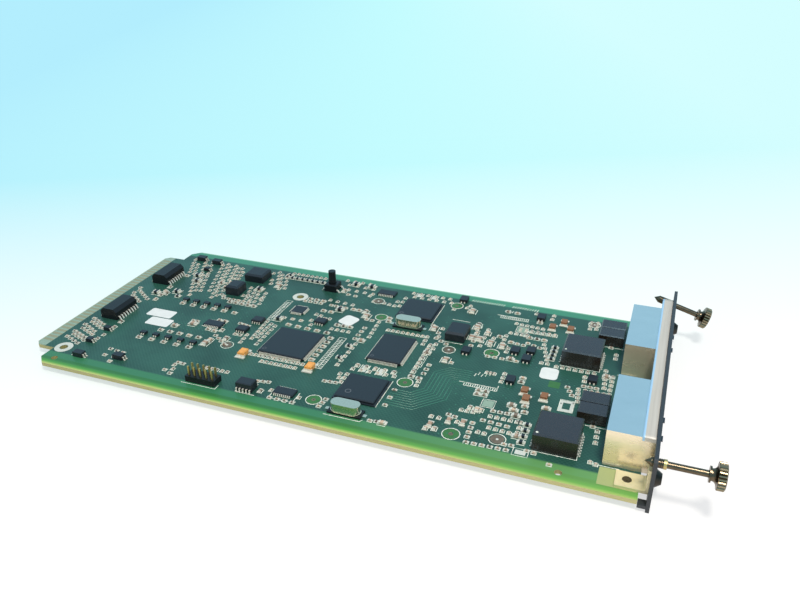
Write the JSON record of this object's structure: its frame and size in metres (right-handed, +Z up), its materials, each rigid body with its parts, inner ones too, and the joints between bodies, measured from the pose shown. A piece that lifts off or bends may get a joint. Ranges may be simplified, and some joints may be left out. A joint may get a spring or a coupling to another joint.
{
  "type": "plug-in video output card with modular jacks",
  "caption": "Flat plug-in circuit card with a rear edge tongue, a narrow black front panel with shielded modular jacks, and knurled captive thumbscrews.",
  "frame": {"origin": "middle of the front panel's bottom edge", "axes": "+X out of the panel, away from the board; +Y towards the far edge; +Z up from the component side"},
  "size_m": [0.2649, 0.115, 0.02],
  "materials": {
    "board_laminate": "satin solder mask on glass-fibre laminate",
    "contact_gold": "thin gold plate",
    "panel_coat": "black satin powder coat",
    "shield_tin": "bright tin plate",
    "port_plastic": "moulded thermoplastic",
    "gasket_cloth": "conductive cloth over foam",
    "bracket_zinc": "bright zinc plate",
    "screw_black": "black oxide",
    "thumbscrew_black": "black oxide, worn bright at the edges",
    "ferrite_black": "epoxy moulding",
    "package_black": "epoxy moulding",
    "crystal_steel": "drawn nickel-plated can",
    "base_plastic": "moulded thermoplastic",
    "pin_gold": "gold flash",
    "lead_tin": "tin plate",
    "button_plastic": "moulded thermoplastic",
    "tantalum_orange": "orange epoxy",
    "ceramic_tan": "fired ceramic with tinned ends"
  },
  "bodies": {
    "card": {"main_board": "board_laminate", "edge_contacts": "contact_gold", "front_panel": "panel_coat", "near_jack_shield": "shield_tin", "far_jack_shield": "shield_tin", "near_jack_insert": "port_plastic", "far_jack_insert": "port_plastic", "near_jack_springs": "contact_gold", "far_jack_springs": "contact_gold", "emi_gasket": "gasket_cloth", "near_bracket": "bracket_zinc", "far_bracket": "bracket_zinc", "panel_screws": "screw_black", "bracket_screws": "bracket_zinc", "near_line_transformer": "ferrite_black", "far_line_transformer": "ferrite_black", "port_filters": "ferrite_black", "processor": "package_black", "video_chip": "package_black", "near_encoder": "package_black", "far_encoder": "package_black", "crystal_bases": "base_plastic", "crystal_cans": "crystal_steel", "header_base": "base_plastic", "header_pins": "pin_gold", "reset_switch_body": "base_plastic", "reset_switch_legs": "lead_tin", "near_edge_module": "package_black", "far_edge_module": "package_black", "edge_module_leads": "lead_tin", "power_inductors": "ferrite_black", "line_driver": "package_black", "thin_packages": "package_black", "small_outline_packages": "package_black", "square_package": "package_black", "tantalum_capacitors": "tantalum_orange", "power_transistors": "package_black", "ceramic_capacitors": "ceramic_tan", "diodes": "package_black", "chip_resistors": "ceramic_tan", "signal_transistors": "package_black"},
    "near_screw": {"near_thumbscrew_shank": "thumbscrew_black"},
    "near_knob": {"near_thumbscrew_knob": "thumbscrew_black"},
    "far_screw": {"far_thumbscrew_shank": "thumbscrew_black"},
    "far_knob": {"far_thumbscrew_knob": "thumbscrew_black"},
    "button": {"reset_switch_button": "button_plastic"}
  },
  "joints": [
    {"name": "near_screw_slide", "type": "slide", "parent": "card", "child": "near_screw", "axis": [-1, 0, 0], "range_m": [0, 0.0141]},
    {"name": "near_knob_turn", "type": "hinge", "parent": "near_screw", "child": "near_knob", "pos_m": [0.018, -0.0525, 0.0156], "axis": [1, 0, 0], "continuous": true},
    {"name": "far_screw_slide", "type": "slide", "parent": "card", "child": "far_screw", "axis": [-0.9588, 0, 0.284], "range_m": [-0.001, 0.0078]},
    {"name": "far_knob_turn", "type": "hinge", "parent": "far_screw", "child": "far_knob", "pos_m": [0.01151, 0.0525, 0.01219], "axis": [0.9588, 0, -0.284], "continuous": true},
    {"name": "button_press", "type": "slide", "parent": "card", "child": "button", "axis": [0, 0, -1], "range_m": [0, 0.00025], "stiffness_N_per_m": 4000}
  ]
}
